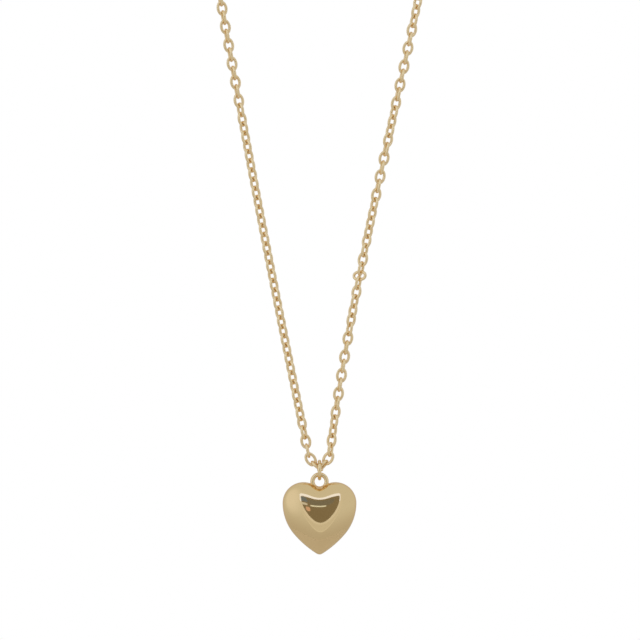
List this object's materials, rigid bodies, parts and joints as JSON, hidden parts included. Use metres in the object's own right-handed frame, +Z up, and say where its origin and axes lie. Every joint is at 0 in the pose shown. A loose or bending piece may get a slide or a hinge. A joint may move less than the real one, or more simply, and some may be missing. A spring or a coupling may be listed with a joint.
{
  "type": "pendant necklace",
  "caption": "Pendant necklace: a puffed heart charm on a jump ring, hung from a fine oval cable chain with a lobster clasp and an extender chain with a bead drop.",
  "frame": {"origin": "on the line of the chain at the middle of the nape, where the closed necklace is held up", "axes": "+Z up along the hanging pendant, +X to the wearer's left, -Y to the front of the wearer, so the flat V of the front chain and the face of the heart look along -Y"},
  "size_m": [0.0626, 0.0793, 0.1797],
  "materials": {
    "chain_links": "polished champagne gold plate",
    "heart": "mirror-polished champagne gold plate",
    "rings": "polished champagne gold plate",
    "clasp": "polished champagne gold plate, cast surface",
    "extender": "polished champagne gold plate",
    "spring_steel": "plain drawn wire"
  },
  "bodies": {
    "collar": {"left_collar_chain": "chain_links", "right_collar_chain": "chain_links", "end_ring": "rings", "clasp_body": "clasp", "clasp_pin": "spring_steel", "clasp_spring": "spring_steel", "extender_ring": "extender"},
    "row_1": {"left_chain_row_1": "chain_links", "right_chain_row_1": "chain_links"},
    "row_2": {"left_chain_row_2": "chain_links", "right_chain_row_2": "chain_links"},
    "row_3": {"left_chain_row_3": "chain_links", "right_chain_row_3": "chain_links"},
    "row_4": {"left_chain_row_4": "chain_links", "right_chain_row_4": "chain_links"},
    "row_5": {"left_chain_row_5": "chain_links", "right_chain_row_5": "chain_links"},
    "row_6": {"left_chain_row_6": "chain_links", "right_chain_row_6": "chain_links"},
    "row_7": {"left_chain_row_7": "chain_links", "right_chain_row_7": "chain_links"},
    "row_8": {"left_chain_row_8": "chain_links", "right_chain_row_8": "chain_links"},
    "row_9": {"left_chain_row_9": "chain_links", "right_chain_row_9": "chain_links", "bottom_left_link": "chain_links", "bottom_centre_link": "chain_links", "bottom_inner_link": "chain_links", "bottom_right_link": "chain_links"},
    "jump_ring": {"pendant_jump_ring": "rings"},
    "pendant": {"pendant_bail_loop": "rings", "heart_front_shell": "heart", "heart_back_shell": "heart"},
    "clasp_gate": {"clasp_lever": "clasp"},
    "extender_top": {"extender_upper_links": "extender"},
    "extender_mid": {"extender_middle_links": "extender"},
    "extender_low": {"extender_lower_links": "extender"},
    "bead_drop": {"extender_bead_loop": "extender", "extender_bead": "extender"}
  },
  "joints": [
    {"name": "front_chain_sway_1", "type": "hinge", "parent": "collar", "child": "row_1", "pos_m": [0.00002, -0.07325, -0.05503], "axis": [0.9999, -0.002, -0.016], "range_deg": [-12, 12]},
    {"name": "front_chain_sway_2", "type": "hinge", "parent": "row_1", "child": "row_2", "pos_m": [-0.00014, -0.07348, -0.06633], "axis": [0.9999, 0, -0.0163], "range_deg": [-12, 12]},
    {"name": "front_chain_sway_3", "type": "hinge", "parent": "row_2", "child": "row_3", "pos_m": [-0.00032, -0.07348, -0.07763], "axis": [0.9999, 0, -0.0163], "range_deg": [-12, 12]},
    {"name": "front_chain_sway_4", "type": "hinge", "parent": "row_3", "child": "row_4", "pos_m": [-0.0005, -0.07348, -0.08892], "axis": [0.9999, 0, -0.0164], "range_deg": [-12, 12]},
    {"name": "front_chain_sway_5", "type": "hinge", "parent": "row_4", "child": "row_5", "pos_m": [-0.00065, -0.07348, -0.10022], "axis": [0.9999, 0, -0.0169], "range_deg": [-12, 12]},
    {"name": "front_chain_sway_6", "type": "hinge", "parent": "row_5", "child": "row_6", "pos_m": [-0.00075, -0.07348, -0.11151], "axis": [0.9998, 0, -0.0187], "range_deg": [-12, 12]},
    {"name": "front_chain_sway_7", "type": "hinge", "parent": "row_6", "child": "row_7", "pos_m": [-0.00069, -0.07348, -0.1224], "axis": [0.9997, 0, 0.0259], "range_deg": [-12, 12]},
    {"name": "front_chain_sway_8", "type": "hinge", "parent": "row_7", "child": "row_8", "pos_m": [-0.00062, -0.07348, -0.13371], "axis": [0.9995, 0, 0.0327], "range_deg": [-12, 12]},
    {"name": "front_chain_sway_9", "type": "hinge", "parent": "row_8", "child": "row_9", "pos_m": [-0.00042, -0.07348, -0.14503], "axis": [0.9992, 0, 0.0403], "range_deg": [-12, 12]},
    {"name": "jump_ring_swing", "type": "hinge", "parent": "row_9", "child": "jump_ring", "pos_m": [0, -0.07348, -0.15952], "axis": [1, 0, 0], "range_deg": [-25, 25]},
    {"name": "pendant_swing", "type": "hinge", "parent": "jump_ring", "child": "pendant", "pos_m": [0, -0.07348, -0.16127], "axis": [0, 1, 0], "range_deg": [-25, 25]},
    {"name": "clasp_lever_pivot", "type": "hinge", "parent": "collar", "child": "clasp_gate", "pos_m": [-0.00009, -0.00021, 0.00048], "axis": [0, 1, 0], "range_deg": [0, 17], "stiffness_Nm_per_rad": 0.002, "springref_deg": -17.19},
    {"name": "extender_swing", "type": "hinge", "parent": "collar", "child": "extender_top", "pos_m": [0.00587, 0.00126, -0.00167], "axis": [1, 0, 0], "range_deg": [-30, 30]},
    {"name": "extender_middle_swing", "type": "hinge", "parent": "extender_top", "child": "extender_mid", "pos_m": [0.00587, 0.00126, -0.01018], "axis": [0, 1, 0], "range_deg": [-25, 25]},
    {"name": "extender_lower_swing", "type": "hinge", "parent": "extender_mid", "child": "extender_low", "pos_m": [0.00587, 0.00126, -0.01906], "axis": [1, 0, 0], "range_deg": [-25, 25]},
    {"name": "bead_drop_swing", "type": "hinge", "parent": "extender_low", "child": "bead_drop", "pos_m": [0.00587, 0.00126, -0.02794], "axis": [0, 1, 0], "range_deg": [-30, 30]}
  ]
}
